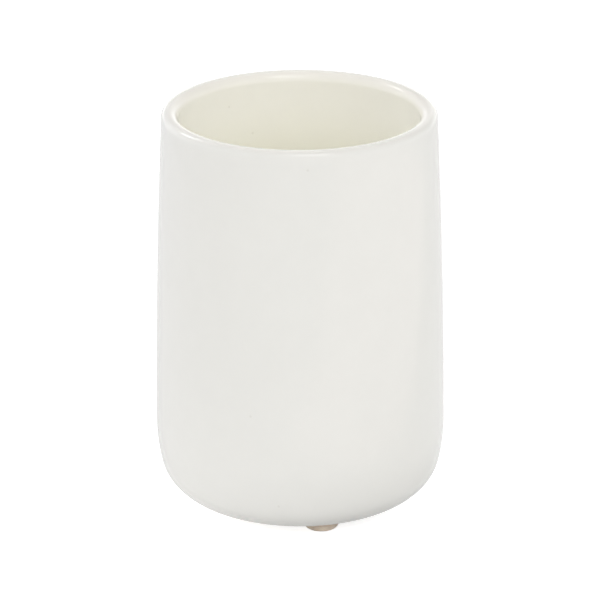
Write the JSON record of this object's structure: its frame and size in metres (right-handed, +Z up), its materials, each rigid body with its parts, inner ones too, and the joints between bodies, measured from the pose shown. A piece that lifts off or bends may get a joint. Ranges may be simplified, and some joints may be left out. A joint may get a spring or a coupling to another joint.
{
  "type": "bathroom tumbler",
  "caption": "Round glazed stoneware bathroom tumbler with a rounded lip and lower corner, standing on small stick-on feet.",
  "frame": {"origin": "on the surface that the tumbler stands on, under the middle of its body", "axes": "+Z up through the mouth, -Y towards the viewer of the picture, +X to the right"},
  "size_m": [0.08, 0.08, 0.112],
  "materials": {
    "glazed_stoneware": "satin off-white glaze, smooth with a faint ripple",
    "foot_rubber": "beige, slightly see-through soft plastic",
    "adhesive": "thin tan adhesive film"
  },
  "bodies": {
    "root": {"tumbler_body": "glazed_stoneware", "adhesive_front": "adhesive", "adhesive_right": "adhesive", "adhesive_back": "adhesive", "adhesive_left": "adhesive", "foot_front": "foot_rubber", "foot_right": "foot_rubber", "foot_back": "foot_rubber", "foot_left": "foot_rubber"}
  },
  "joints": []
}
